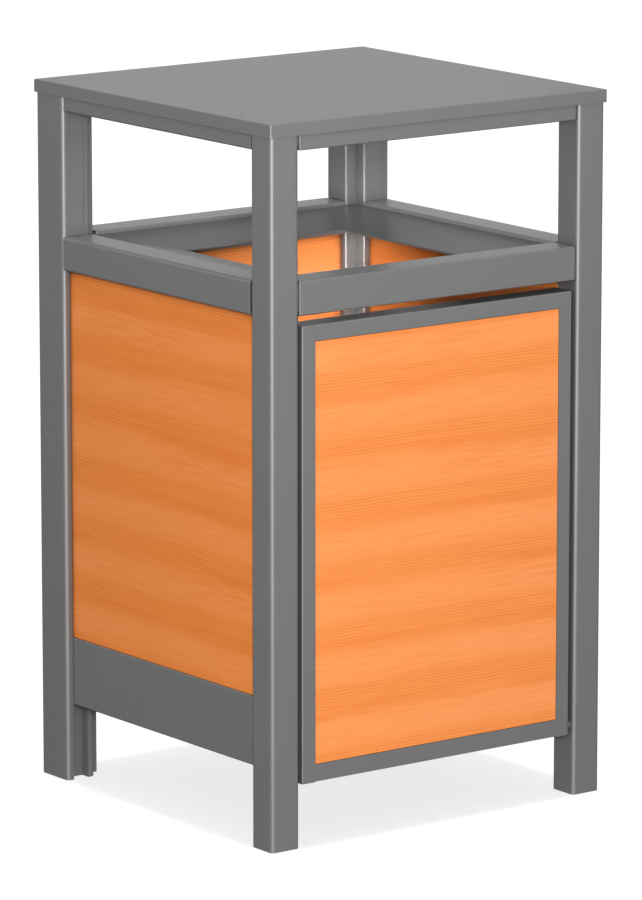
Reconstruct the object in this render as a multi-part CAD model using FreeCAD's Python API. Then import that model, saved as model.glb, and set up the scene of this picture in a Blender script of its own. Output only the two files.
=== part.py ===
import FreeCAD, Part
import math
import os

from FreeCAD import Vector

# A free-standing litter bin: four posts, a flat roof over four open sides, a
# shallow hopper ring, three panelled walls and a panelled door that tilts out
# on two pivots near the floor. Millimetres, +Z up, door facing -Y, origin in
# the middle of the footprint on the floor.

# Overall sizes
body_width = 610.0
body_depth = 593.0
body_height = 1064.5

# Roof pan
roof_sheet = 2.0
roof_lip = 19.0
roof_clearance = 0.3
roof_corner_radius = 2.0

# Posts
post_size = 50.0
post_radius = 6.0
post_wall = 3.0
rear_post_size = 69.0
rear_post_core = 49.1
rear_flange_radius = 4.0
panel_setback = 12.0
channel_width = 26.0
front_channel_depth = 14.0
rear_channel_depth = 16.0
channel_clearance = 0.3
foot_plug_height = 15.0

# Rails between the posts
rail_setback = 2.5
rail_end_gap = 2.5
rail_wall = 3.0
rail_radius = 6.0
rail_lower_radius = 1.5
rail_end_radius = 1.0
mid_rail_bottom = 784.3
mid_rail_height = 50.7
mid_rail_width = 50.0
top_rail_drop = 22.7
top_rail_width = 30.0
spigot_length = 25.0
spigot_clearance = 0.3
stud_radius = 5.0
stud_reach = 8.0

# Hopper ring inside the mid rails
hopper_sheet = 2.0
hopper_hole = 302.0
hopper_hole_centre = -11.0
hopper_edge_drop = 6.0
hopper_fall = 16.3
hopper_flange = 34.0
hopper_lip = 6.0

# Wall panels and bottom rails
bottom_rail_bottom = 117.0
bottom_rail_height = 104.5
bottom_rail_wall = 2.5
panel_play = 1.0
bottom_screw_drop = 15.0
bottom_screw_spacing = 20.0

# Floor pan on its bearers, and the liner that stands in it
pan_underside = 150.0
pan_sheet = 2.0
pan_upstand = 25.0
pan_clearance = 3.0
bearer_leg = 30.0
bearer_sheet = 3.0
liner_width = 430.0
liner_depth = 410.0
liner_height = 485.0
liner_taper = 15.0
liner_wall = 3.0
liner_rim = 8.0
liner_rim_height = 12.0
liner_corner_radius = 30.0
liner_centre = -5.0

# Door
door_side_gap = 7.2
door_top_gap = 15.3
door_bottom = 93.9
door_inset = 3.3
door_thickness = 38.0
door_edge_radius = 2.0
door_lower_radius = 0.8
stile_width = 23.6
door_top_rail_height = 24.0
door_bottom_rail_height = 25.8
door_wall = 3.0
door_end_cap = 1.5
stile_overhang = 0.7
door_panel_recess = 0.3
door_panel_thickness = 25.0
tongue_thickness = 8.0
tongue_reach = 7.0
tongue_clearance = 0.3
frame_screw_lift = 2.0

# Pivots, and the pins that stop the open door
pivot_from_front = 12.0
pivot_from_bottom = 12.1
pivot_radius = 4.0
pivot_reach = 13.0
running_clearance = 0.05
bush_wall = 2.0
bush_flange = 2.0
bush_flange_radius = 7.0
washer_radius = 7.0
washer_clearance = 0.3
bracket_plate = 3.0
bracket_boss_radius = 7.5
bracket_height = 75.0
bracket_setback = 2.0
bracket_screw_rise = 30.0
bracket_screw_spacing = 25.0
door_opening = 90.0
stop_orbit = 17.0
stop_start = -15.0
stop_pin_radius = 2.0
stop_pin_depth = 6.0
bracket_pin_radius = 2.5
stop_clearance = 0.3
stop_end_gap = 1.0

# Magnetic catch behind the right stile
catch_drop = 49.0
catch_leaf = 40.0
catch_sheet = 3.0
catch_cover = 25.0
catch_arm = 42.0
magnet_width = 18.0
magnet_depth = 12.0
magnet_gap = 0.3
strike_width = 18.0
strike_height = 46.0
strike_sheet = 2.0
strike_screw_margin = 1.0

# Roof cleats
cleat_length = 60.0
cleat_leg = 25.0
cleat_sheet = 3.0
stud_drop = 12.0
nut_radius = 5.5
nut_height = 5.0
roof_stud_radius = 3.0

# Screws: radius and height of the head, radius of the shank, bite in the far piece
head_radius = 4.0
head_height = 2.5
shank_radius = 2.0
shank_bite = 3.0
hole_clearance = 0.05
access_clearance = 0.5

# Places worked out from the sizes above
half_width = body_width / 2
half_depth = body_depth / 2
roof_underside = body_height - roof_sheet
roof_lip_bottom = body_height - roof_lip
mid_rail_top = mid_rail_bottom + mid_rail_height
top_rail_bottom = roof_lip_bottom - top_rail_drop
bottom_rail_top = bottom_rail_bottom + bottom_rail_height
front_post_back = post_size - half_depth
front_post_side = half_width - post_size
rear_post_front = half_depth - rear_post_size
rear_post_side = half_width - rear_post_size
channel_end = panel_setback + channel_width
panel_outer = panel_setback + channel_clearance
panel_inner = channel_end - channel_clearance
rear_channel_floor = rear_post_size - rear_channel_depth

door_half_width = front_post_side - door_side_gap
door_top = mid_rail_bottom - door_top_gap
catch_height = door_top - catch_drop
door_front = door_inset - half_depth
door_back = door_front + door_thickness
stile_inner = door_half_width - stile_width
pivot_y = door_front + pivot_from_front
pivot_z = door_bottom + pivot_from_bottom

UP = Vector(0, 0, 1)
DOWN = Vector(0, 0, -1)
RIGHT = Vector(1, 0, 0)
LEFT = Vector(-1, 0, 0)
BACK = Vector(0, 1, 0)
FORWARD = Vector(0, -1, 0)


def block(x0, x1, y0, y1, z0, z1):
    """A box between two corners, given in any order."""
    low = Vector(min(x0, x1), min(y0, y1), min(z0, z1))
    return Part.makeBox(abs(x1 - x0), abs(y1 - y0), abs(z1 - z0), low)


def joined(solids):
    """Several touching solids fused into one, with coplanar faces merged."""
    result = solids[0]
    for solid in solids[1:]:
        result = result.fuse(solid)
    return result.removeSplitter()


def without(shape, cutters):
    """A shape with each cutter taken out of it."""
    for cutter in cutters:
        shape = shape.cut(cutter)
    return shape


def mirrored(shape):
    """The left-hand copy of a right-hand piece."""
    return shape.mirror(Vector(0, 0, 0), RIGHT)


def turned(shape, degrees):
    """A copy turned about the upright axis through the origin."""
    copy = shape.copy()
    copy.rotate(Vector(0, 0, 0), UP, degrees)
    return copy


def edges_along(shape, axis):
    """Straight edges that run along one of the axis directions."""
    picked = []
    for edge in shape.Edges:
        run = edge.Vertexes[-1].Point - edge.Vertexes[0].Point
        if run.Length > 0 and run.cross(axis).Length < 1e-6 * run.Length:
            picked.append(edge)
    return picked


def edges_through(shape, axis, points):
    """Straight edges along an axis that pass through any of the given points."""
    picked = []
    for edge in edges_along(shape, axis):
        start = edge.Vertexes[0].Point
        for point in points:
            if (point - start).cross(axis).Length < 1e-4:
                picked.append(edge)
                break
    return picked


def end_edges(shape, axis):
    """Outer edges of the flat end faces square to an axis."""
    picked = []
    for face in shape.Faces:
        if face.normalAt(0, 0).cross(axis).Length < 1e-6:
            picked.extend(face.OuterWire.Edges)
    return picked


def tube(box, axis, wall, radius):
    """A rectangular tube filling a box, open at both ends along the axis."""
    x0, x1, y0, y1, z0, z1 = box
    outer = block(*box)
    outer = outer.makeFillet(radius, edges_along(outer, axis))
    inset = Vector(wall, wall, wall) - Vector(abs(axis.x), abs(axis.y), abs(axis.z)) * wall
    bore = block(x0 + inset.x, x1 - inset.x, y0 + inset.y, y1 - inset.y, z0 + inset.z, z1 - inset.z)
    if radius > wall:
        bore = bore.makeFillet(radius - wall, edges_along(bore, axis))
    return outer.cut(bore)


def screw(seat, way, length):
    """A round-headed screw: head on the near side of its seat, shank along its way."""
    head = Part.makeCylinder(head_radius, head_height, seat, way * -1)
    shank = Part.makeCylinder(shank_radius, length, seat, way)
    return joined([head, shank])


def screw_hole(seat, way, length):
    """Room for the shank of a screw, from its seat to just past its tip."""
    return Part.makeCylinder(shank_radius + hole_clearance, length + hole_clearance, seat, way)


def screws(places, length):
    """Screws at several places; each place is a seat point and a way."""
    return [screw(seat, way, length) for seat, way in places]


def drilled(shape, places, length):
    """A shape with holes for the screws at several places."""
    return without(shape, [screw_hole(seat, way, length) for seat, way in places])


def export(name, solids):
    """Write one node, made of one solid or of several separate ones."""
    pieces = solids if isinstance(solids, list) else [solids]
    shape = pieces[0] if len(pieces) == 1 else Part.makeCompound(pieces)
    shape.exportStep("parts/" + name + ".step")


os.makedirs("parts", exist_ok=True)


# Fixing places that two pieces share

bottom_screw_top = bottom_rail_top - bottom_screw_drop
bottom_screw_heights = [bottom_screw_top, bottom_screw_top - bottom_screw_spacing]
bottom_screw_front = [
    (Vector(front_post_side, front_post_back - front_channel_depth / 2, z), RIGHT)
    for z in bottom_screw_heights
]
bottom_screw_rear = [
    (Vector(half_width - rear_post_core, rear_post_front + rear_channel_depth / 2, z), RIGHT)
    for z in bottom_screw_heights
]
bottom_screw_back = [
    (Vector(rear_post_side + rear_channel_depth / 2, half_depth - rear_post_core, z), BACK)
    for z in bottom_screw_heights
]
rail_bite = channel_clearance + bottom_rail_wall + shank_bite
front_screw_length = post_size - channel_end + rail_bite
rear_screw_length = rear_post_core - channel_end + rail_bite

bracket_screw_low = pivot_z + bracket_screw_rise
bracket_screw_heights = [bracket_screw_low, bracket_screw_low + bracket_screw_spacing]
bracket_screw_places = [
    (Vector(front_post_side - bracket_plate, (pivot_y + front_post_back) / 2, z), RIGHT)
    for z in bracket_screw_heights
]
bracket_screw_length = bracket_plate + post_wall + shank_bite

catch_screw_places = [
    (Vector(front_post_side - catch_sheet, front_post_back - catch_cover / 2, catch_height + z), RIGHT)
    for z in (-catch_leaf / 4, catch_leaf / 4)
]
catch_screw_length = catch_sheet + post_wall + shank_bite

strike_centre = stile_inner + stile_width / 2
strike_screw_reach = strike_height / 2 - head_radius - strike_screw_margin
strike_screw_places = [
    (Vector(strike_centre, door_back + strike_sheet, catch_height + z), FORWARD)
    for z in (-strike_screw_reach, strike_screw_reach)
]
strike_screw_length = strike_sheet + door_wall + shank_bite


# Front posts: square tubes with a panel channel in the back face

def front_post():
    x0, x1 = front_post_side, half_width
    y0, y1 = -half_depth, front_post_back
    post = block(x0, x1, y0, y1, 0, roof_underside)
    post = post.makeFillet(post_radius, edges_along(post, UP))
    bore_back = y1 - front_channel_depth - post_wall
    bore = block(x0 + post_wall, x1 - post_wall, y0 + post_wall, bore_back, 0, roof_underside)
    bore = bore.makeFillet(post_radius - post_wall, edges_along(bore, UP))
    channel = block(x1 - panel_setback, x1 - channel_end, y1 - front_channel_depth, y1, 0, roof_underside)
    post = without(post, [bore, channel])
    return drilled(post, bottom_screw_front, front_screw_length)


def stud_hole(z):
    """Clearance in the inner face of a front post for the stud of a front rail."""
    return Part.makeCylinder(stud_radius + hole_clearance, post_wall + stud_reach,
                             Vector(front_post_side, front_rail_centre, z), RIGHT)


front_rail_centre = -half_depth + rail_setback + top_rail_width / 2
mid_rail_middle = mid_rail_bottom + mid_rail_height / 2
top_rail_middle = (top_rail_bottom + roof_underside) / 2

front_right = front_post()
front_right = without(front_right, [stud_hole(mid_rail_middle), stud_hole(top_rail_middle)])
front_right = drilled(front_right, bracket_screw_places, bracket_screw_length)
front_left = mirrored(front_right)
front_right = drilled(front_right, catch_screw_places, catch_screw_length)
export("front_right_post", front_right)
export("front_left_post", front_left)

plug_gap = hole_clearance * 2
front_plug = block(front_post_side + post_wall + plug_gap, half_width - post_wall - plug_gap,
                   -half_depth + post_wall + plug_gap,
                   front_post_back - front_channel_depth - post_wall - plug_gap, 0, foot_plug_height)
front_plug = front_plug.makeFillet(post_radius - post_wall, edges_along(front_plug, UP))
export("front_foot_plugs", [front_plug, mirrored(front_plug)])


# Rear posts: a square core with two channelled arms and a notch in the inner corner

def corner_block(u0, u1, v0, v1, z0, z1):
    """A box measured inwards from the outer faces of the rear right corner."""
    return block(half_width - u0, half_width - u1, half_depth - v0, half_depth - v1, z0, z1)


def corner_point(u, v):
    return Vector(half_width - u, half_depth - v, 0)


def rear_post():
    size, core, top = rear_post_size, rear_post_core, roof_underside
    post = corner_block(0, size, 0, size, 0, top)
    notch = corner_block(core, size, core, size, 0, top)
    side_channel = corner_block(panel_setback, channel_end, rear_channel_floor, size, 0, top)
    back_channel = corner_block(rear_channel_floor, size, panel_setback, channel_end, 0, top)
    post = without(post, [notch, side_channel, back_channel])
    outer = [corner_point(0, 0), corner_point(0, size), corner_point(size, 0)]
    post = post.makeFillet(post_radius, edges_through(post, UP, outer))
    inner = [corner_point(core, size), corner_point(size, core)]
    post = post.makeFillet(rear_flange_radius, edges_through(post, UP, inner))
    bore = corner_block(post_wall, core - post_wall, post_wall, core - post_wall, 0, top)
    bore = bore.makeFillet(post_radius - post_wall, edges_along(bore, UP))
    post = post.cut(bore)
    post = drilled(post, bottom_screw_rear, rear_screw_length)
    return drilled(post, bottom_screw_back, rear_screw_length)


rear_right = rear_post()
export("rear_right_post", rear_right)
export("rear_left_post", mirrored(rear_right))

plug_start = post_wall + plug_gap
plug_end = rear_post_core - post_wall - plug_gap
rear_plug = corner_block(plug_start, plug_end, plug_start, plug_end, 0, foot_plug_height)
rear_plug = rear_plug.makeFillet(post_radius - post_wall, edges_along(rear_plug, UP))
export("rear_foot_plugs", [rear_plug, mirrored(rear_plug)])


# Rails between the posts, each with a spigot in both ends

def rail_boxes(width, z0, z1):
    """The boxes of the front, rear and right rails of one ring."""
    outer_x, outer_y = half_width - rail_setback, half_depth - rail_setback
    front_end = front_post_side - rail_end_gap
    rear_end = rear_post_side - rail_end_gap
    front = (-front_end, front_end, -outer_y, -outer_y + width, z0, z1)
    rear = (-rear_end, rear_end, outer_y - width, outer_y, z0, z1)
    right = (outer_x - width, outer_x, front_post_back + rail_end_gap, rear_post_front - rail_end_gap, z0, z1)
    return front, rear, right


def rail(box, axis):
    """A tube with well rounded upper edges, nearly square lower ones and eased ends."""
    x0, x1, y0, y1, z0, z1 = box
    outer = block(*box)
    upper = [Vector(x, y, z1) for x in (x0, x1) for y in (y0, y1)]
    lower = [Vector(x, y, z0) for x in (x0, x1) for y in (y0, y1)]
    outer = outer.makeFillet(rail_radius, edges_through(outer, axis, upper))
    outer = outer.makeFillet(rail_lower_radius, edges_through(outer, axis, lower))
    inset = Vector(rail_wall, rail_wall, rail_wall) - axis * rail_wall
    bore = block(x0 + inset.x, x1 - inset.x, y0 + inset.y, y1 - inset.y, z0 + inset.z, z1 - inset.z)
    bore = bore.makeFillet(rail_radius - rail_wall, edges_along(bore, axis))
    bar = outer.cut(bore)
    return bar.makeFillet(rail_end_radius, end_edges(bar, axis))


def shrunk(box, margin):
    """The box inside the wall of a tube."""
    x0, x1, y0, y1, z0, z1 = box
    return x0 + margin, x1 - margin, y0 + margin, y1 - margin, z0 + margin, z1 - margin


def rounded_bar(box, axis):
    """The body of a spigot, with edges that follow the inside of its tube."""
    bar = block(*box)
    return bar.makeFillet(rail_radius - rail_wall, edges_along(bar, axis))


def front_spigot(box):
    """Right-hand spigot of a front rail, with a stud through the wall of the post."""
    _, _, y0, y1, z0, z1 = shrunk(box, rail_wall + spigot_clearance)
    body = rounded_bar((box[1] - spigot_length, front_post_side, y0, y1, z0, z1), RIGHT)
    stud = Part.makeCylinder(stud_radius, post_wall + stud_reach,
                             Vector(front_post_side, front_rail_centre, (z0 + z1) / 2), RIGHT)
    return joined([body, stud])


def rear_spigot(box):
    """Right-hand spigot of a rear rail, with a tongue in the channel of the post."""
    _, _, y0, y1, z0, z1 = shrunk(box, rail_wall + spigot_clearance)
    body = rounded_bar((box[1] - spigot_length, rear_post_side, y0, y1, z0, z1), RIGHT)
    tongue = block(rear_post_side, rear_post_side + rear_channel_depth - panel_play,
                   max(y0, half_depth - panel_inner), half_depth - panel_outer, z0, z1)
    return joined([body, tongue])


def side_spigots(box):
    """Front and rear spigots of the right rail, with tongues in both channels."""
    x0, x1, _, _, z0, z1 = shrunk(box, rail_wall + spigot_clearance)
    tongue_x0 = max(x0, half_width - panel_inner)
    tongue_x1 = half_width - panel_outer
    front_body = rounded_bar((x0, x1, front_post_back, box[2] + spigot_length, z0, z1), BACK)
    front_tongue = block(tongue_x0, tongue_x1, front_post_back,
                         front_post_back - front_channel_depth + panel_play, z0, z1)
    rear_body = rounded_bar((x0, x1, box[3] - spigot_length, rear_post_front, z0, z1), BACK)
    rear_tongue = block(tongue_x0, tongue_x1, rear_post_front,
                        rear_post_front + rear_channel_depth - panel_play, z0, z1)
    return [joined([front_body, front_tongue]), joined([rear_body, rear_tongue])]


def fixing_places(distance, spread, z, way):
    """Two screw places at a distance in front of the origin, evenly about its middle."""
    return [(Vector(x, -distance, z), way) for x in (-spread, spread)]


def inner_face(width, along_depth):
    """Distance from the origin to the inner face of a ring's rails."""
    half = half_depth if along_depth else half_width
    return half - rail_setback - width


def ring(name, width, z0, z1, seat_gap, seat_spread, seat_height, seat_length):
    """Four rails with eight spigots; their inner faces are drilled for two screws each."""
    front_box, rear_box, right_box = rail_boxes(width, z0, z1)
    deep, wide = inner_face(width, True), inner_face(width, False)
    deep_places = fixing_places(deep - seat_gap, seat_spread, seat_height, FORWARD)
    wide_places = fixing_places(wide - seat_gap, seat_spread, seat_height, FORWARD)
    deep_holes = Part.makeCompound([screw_hole(p, w, seat_length) for p, w in deep_places])
    wide_holes = Part.makeCompound([screw_hole(p, w, seat_length) for p, w in wide_places])
    front = rail(front_box, RIGHT).cut(deep_holes)
    rear = rail(rear_box, RIGHT).cut(turned(deep_holes, 180))
    right = rail(right_box, BACK).cut(turned(wide_holes, 90))
    export("front_" + name + "_rail", front)
    export("rear_" + name + "_rail", rear)
    export("right_" + name + "_rail", right)
    export("left_" + name + "_rail", mirrored(right))
    right_spigots = [front_spigot(front_box), rear_spigot(rear_box)] + side_spigots(right_box)
    export(name + "_rail_spigots", right_spigots + [mirrored(s) for s in right_spigots])
    deep_screws = screws(deep_places, seat_length)
    wide_screws = screws(wide_places, seat_length)
    return deep_screws, wide_screws


def all_round(deep_pieces, wide_pieces):
    """Pieces made for the front, set out on all four sides."""
    result = []
    for quarter, pieces in ((0, deep_pieces), (90, wide_pieces), (180, deep_pieces), (270, wide_pieces)):
        result.extend(turned(piece, quarter) for piece in pieces)
    return result


hopper_edge = mid_rail_top - hopper_edge_drop
hopper_screw_z = hopper_edge - hopper_flange + 2 * head_radius
hopper_spread = hopper_hole / 3
hopper_deep, hopper_wide = ring("mid", mid_rail_width, mid_rail_bottom, mid_rail_top, hopper_sheet,
                                hopper_spread, hopper_screw_z, hopper_sheet + rail_wall + shank_bite)
export("hopper_screws", all_round(hopper_deep, hopper_wide))

cleat_screw_z = roof_underside - cleat_leg + 2 * head_radius
cleat_spread = cleat_length / 3
cleat_deep, cleat_wide = ring("top", top_rail_width, top_rail_bottom, roof_underside, cleat_sheet,
                              cleat_spread, cleat_screw_z, cleat_sheet + rail_wall + shank_bite)
export("cleat_screws", all_round(cleat_deep, cleat_wide))


# Roof: a folded pan with welded studs, held down by four cleats

def cleat(distance):
    """Angle on the inner face of the front top rail, drilled for two screws and two studs."""
    back = -distance + cleat_sheet
    upright = block(-cleat_length / 2, cleat_length / 2, -distance, back,
                    roof_underside - cleat_leg, roof_underside)
    flat = block(-cleat_length / 2, cleat_length / 2, -distance, -distance + cleat_leg,
                 roof_underside - cleat_sheet, roof_underside)
    places = fixing_places(distance - cleat_sheet, cleat_spread, cleat_screw_z, FORWARD)
    angle = drilled(joined([upright, flat]), places, cleat_sheet)
    return without(angle, [roof_stud(x, distance, hole_clearance) for x in (-cleat_spread, cleat_spread)])


def roof_stud(x, distance, extra):
    """Stud under the roof at a cleat, or with some extra radius the hole for it."""
    y = -distance + cleat_sheet + (cleat_leg - cleat_sheet) / 2
    return Part.makeCylinder(roof_stud_radius + extra, stud_drop, Vector(x, y, roof_underside), DOWN)


def roof_nut(x, distance):
    y = -distance + cleat_sheet + (cleat_leg - cleat_sheet) / 2
    top = Vector(x, y, roof_underside - cleat_sheet)
    nut = Part.makeCylinder(nut_radius, nut_height, top, DOWN)
    return nut.cut(roof_stud(x, distance, hole_clearance))


cleat_deep_at = inner_face(top_rail_width, True)
cleat_wide_at = inner_face(top_rail_width, False)
export("roof_cleats", all_round([cleat(cleat_deep_at)], [cleat(cleat_wide_at)]))
stud_xs = (-cleat_spread, cleat_spread)
export("roof_nuts", all_round([roof_nut(x, cleat_deep_at) for x in stud_xs],
                              [roof_nut(x, cleat_wide_at) for x in stud_xs]))

overhang = roof_clearance + roof_sheet
roof_x = half_width + overhang
roof_y = half_depth + overhang
roof = block(-roof_x, roof_x, -roof_y, roof_y, roof_lip_bottom, body_height)
roof = roof.makeFillet(roof_corner_radius, edges_along(roof, UP))
roof = roof.cut(block(-half_width - roof_clearance, half_width + roof_clearance,
                      -half_depth - roof_clearance, half_depth + roof_clearance,
                      roof_lip_bottom, roof_underside))
roof_studs = all_round([roof_stud(x, cleat_deep_at, 0) for x in stud_xs],
                       [roof_stud(x, cleat_wide_at, 0) for x in stud_xs])
export("roof_pan", joined([roof] + roof_studs))


# Hopper: sheet that falls from the mid rails to a square hole with a turned-down lip

def rectangle(x0, x1, y0, y1, z):
    corners = [Vector(x0, y0, z), Vector(x1, y0, z), Vector(x1, y1, z), Vector(x0, y1, z)]
    return Part.makePolygon(corners + corners[:1])


hopper_x = inner_face(mid_rail_width, False)
hopper_y = inner_face(mid_rail_width, True)
hole_x = hopper_hole / 2
hole_y0 = hopper_hole_centre - hopper_hole / 2
hole_y1 = hopper_hole_centre + hopper_hole / 2
hopper_low = hopper_edge - hopper_fall


def funnel(z_shift):
    """The space above the falling sheet, raised or lowered as a whole."""
    top = rectangle(-hopper_x, hopper_x, -hopper_y, hopper_y, hopper_edge + z_shift)
    low = rectangle(-hole_x, hole_x, hole_y0, hole_y1, hopper_low + z_shift)
    return Part.makeLoft([top, low], True, True)


def hopper():
    rim = block(-hopper_x, hopper_x, -hopper_y, hopper_y, hopper_edge - hopper_sheet, hopper_edge)
    hole = block(-hole_x, hole_x, hole_y0, hole_y1, hopper_low - hopper_lip - hopper_sheet, hopper_edge)
    sheet = joined([funnel(-hopper_sheet), rim]).cut(funnel(0))
    flange = block(-hopper_x, hopper_x, -hopper_y, hopper_y, hopper_edge - hopper_flange,
                   hopper_edge - hopper_sheet)
    flange = flange.cut(block(-hopper_x + hopper_sheet, hopper_x - hopper_sheet, -hopper_y + hopper_sheet,
                              hopper_y - hopper_sheet, hopper_edge - hopper_flange, hopper_edge))
    lip = block(-hole_x - hopper_sheet, hole_x + hopper_sheet, hole_y0 - hopper_sheet,
                hole_y1 + hopper_sheet, hopper_low - hopper_lip, hopper_low - hopper_sheet / 2)
    plate = joined([sheet, flange, lip]).cut(hole)
    deep = fixing_places(hopper_y - hopper_sheet, hopper_spread, hopper_screw_z, FORWARD)
    wide = fixing_places(hopper_x - hopper_sheet, hopper_spread, hopper_screw_z, FORWARD)
    holes = all_round([screw_hole(p, w, hopper_sheet) for p, w in deep],
                      [screw_hole(p, w, hopper_sheet) for p, w in wide])
    return without(plate, holes)


export("hopper_plate", hopper())


# Wall panels stand on bottom rails; both slide in the channels of the posts

side_front = front_post_back - front_channel_depth + panel_play
side_rear = rear_post_front + rear_channel_depth - panel_play
back_end = half_width - rear_channel_floor - panel_play
panel_top = mid_rail_bottom - panel_play

right_panel = block(half_width - panel_inner, half_width - panel_outer, side_front, side_rear,
                    bottom_rail_top, panel_top)
export("right_panel", right_panel)
export("left_panel", mirrored(right_panel))
export("rear_panel", block(-back_end, back_end, half_depth - panel_inner, half_depth - panel_outer,
                           bottom_rail_top, panel_top))


def bottom_rail(box, axis):
    return tube(box, axis, bottom_rail_wall, bottom_rail_wall)


bearer_face = half_width - panel_inner
bearer_places = [
    (Vector(bearer_face - bearer_sheet, y, pan_underside - bearer_leg + 2 * head_radius), RIGHT)
    for y in (side_front / 2, 0.0, side_rear / 2)
]
bearer_length = bearer_sheet + bottom_rail_wall + shank_bite

right_rail = bottom_rail((half_width - panel_inner, half_width - panel_outer, side_front, side_rear,
                          bottom_rail_bottom, bottom_rail_top), BACK)
right_rail = drilled(right_rail, bottom_screw_front, front_screw_length)
right_rail = drilled(right_rail, bottom_screw_rear, rear_screw_length)
right_rail = drilled(right_rail, bearer_places, bearer_length)
export("right_bottom_rail", right_rail)
export("left_bottom_rail", mirrored(right_rail))

rear_rail = bottom_rail((-back_end, back_end, half_depth - panel_inner, half_depth - panel_outer,
                         bottom_rail_bottom, bottom_rail_top), RIGHT)
back_holes = Part.makeCompound([screw_hole(p, w, rear_screw_length) for p, w in bottom_screw_back])
export("rear_bottom_rail", without(rear_rail, [back_holes, mirrored(back_holes)]))

bottom_screws = screws(bottom_screw_front, front_screw_length)
bottom_screws += screws(bottom_screw_rear + bottom_screw_back, rear_screw_length)
export("bottom_rail_screws", bottom_screws + [mirrored(s) for s in bottom_screws])


# Filler strips close the channels of the posts beside the open windows

front_filler = block(half_width - panel_outer, half_width - panel_inner,
                     front_post_back - front_channel_depth + panel_play, front_post_back - channel_clearance,
                     mid_rail_top, top_rail_bottom)
export("front_channel_fillers", [front_filler, mirrored(front_filler)])
side_filler = corner_block(panel_outer, panel_inner, rear_channel_floor + panel_play,
                           rear_post_size - channel_clearance, mid_rail_top, top_rail_bottom)
back_filler = corner_block(rear_channel_floor + panel_play, rear_post_size - channel_clearance,
                           panel_outer, panel_inner, mid_rail_top, top_rail_bottom)
export("rear_channel_fillers", [side_filler, back_filler, mirrored(side_filler), mirrored(back_filler)])


# Floor pan on two angle bearers

bearer_front = front_post_back + pan_clearance
bearer_rear = rear_post_front - pan_clearance
bearer = joined([
    block(bearer_face - bearer_sheet, bearer_face, bearer_front, bearer_rear,
          pan_underside - bearer_leg, pan_underside),
    block(bearer_face - bearer_leg, bearer_face, bearer_front, bearer_rear,
          pan_underside - bearer_sheet, pan_underside),
])
bearer = drilled(bearer, bearer_places, bearer_sheet)
export("right_floor_bearer", bearer)
export("left_floor_bearer", mirrored(bearer))
bearer_screws = screws(bearer_places, bearer_length)
export("bearer_screws", bearer_screws + [mirrored(s) for s in bearer_screws])

pan_x = bearer_face - channel_clearance
pan_top = pan_underside + pan_sheet
pan = block(-pan_x, pan_x, bearer_front, bearer_rear, pan_underside, pan_underside + pan_upstand)
pan = pan.cut(block(-pan_x + pan_sheet, pan_x - pan_sheet, bearer_front + pan_sheet, bearer_rear - pan_sheet,
                    pan_top, pan_underside + pan_upstand))
export("floor_pan", pan)


# Liner: a tapered bucket with a turned-out rim

def rounded_rectangle(width, depth, radius, z):
    """A closed outline with round corners about the liner's centre."""
    face = Part.Face(rectangle(-width / 2, width / 2, liner_centre - depth / 2, liner_centre + depth / 2, z))
    solid = face.extrude(UP)
    solid = solid.makeFillet(radius, edges_along(solid, UP))
    low = min(solid.Faces, key=lambda f: f.CenterOfMass.z)
    return low.OuterWire


def bucket(margin, z0, z1):
    """A tapered solid, drawn in from the liner's outer face by a margin."""
    foot = rounded_rectangle(liner_width - 2 * (liner_taper + margin), liner_depth - 2 * (liner_taper + margin),
                             liner_corner_radius - margin, z0)
    mouth = rounded_rectangle(liner_width - 2 * margin, liner_depth - 2 * margin,
                              liner_corner_radius - margin, z1)
    return Part.makeLoft([foot, mouth], True, True)


def slab(margin, z0, z1):
    """A straight-sided solid with the liner's rounded outline."""
    outline = rounded_rectangle(liner_width - 2 * margin, liner_depth - 2 * margin,
                                liner_corner_radius - margin, z0)
    return Part.Face(outline).extrude(UP * (z1 - z0))


liner_top = pan_top + liner_height
liner = joined([bucket(0, pan_top, liner_top), slab(-liner_rim, liner_top - liner_rim_height, liner_top)])
liner = without(liner, [
    bucket(liner_wall, pan_top + liner_wall, liner_top),
    slab(liner_wall - liner_rim, liner_top - liner_rim_height, liner_top - liner_wall).cut(
        slab(0, liner_top - liner_rim_height, liner_top - liner_wall)),
])
export("liner", liner)


# Door frame: stiles and rails with a panel groove in front and a hollow behind it

groove_front = door_front + (door_panel_recess + (door_panel_thickness - tongue_thickness) / 2) - tongue_clearance
groove_back = groove_front + tongue_thickness + 2 * tongue_clearance
groove_depth = tongue_reach + tongue_clearance * 2
hollow_front = groove_back + door_wall
hollow_back = door_back - door_wall
screw_y = hollow_back - head_radius - access_clearance
door_base = door_bottom + stile_overhang
panel_low = door_base + door_bottom_rail_height
panel_high = door_top - door_top_rail_height
frame_screw_heights = [
    door_top - door_top_rail_height / 2,
    door_base + door_bottom_rail_height / 2 + frame_screw_lift,
]
frame_screw_places = [(Vector(stile_inner + door_wall, screw_y, z), LEFT) for z in frame_screw_heights]
frame_screw_length = door_wall + spigot_length - shank_bite
stile_low = door_bottom + door_end_cap
bush_radius = pivot_radius + running_clearance + bush_wall


def orbit_point(x, degrees):
    """A point at the stop pins' distance from the pivot; 0 degrees is towards the back."""
    angle = math.radians(degrees)
    return Vector(x, pivot_y + stop_orbit * math.cos(angle), pivot_z + stop_orbit * math.sin(angle))


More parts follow.
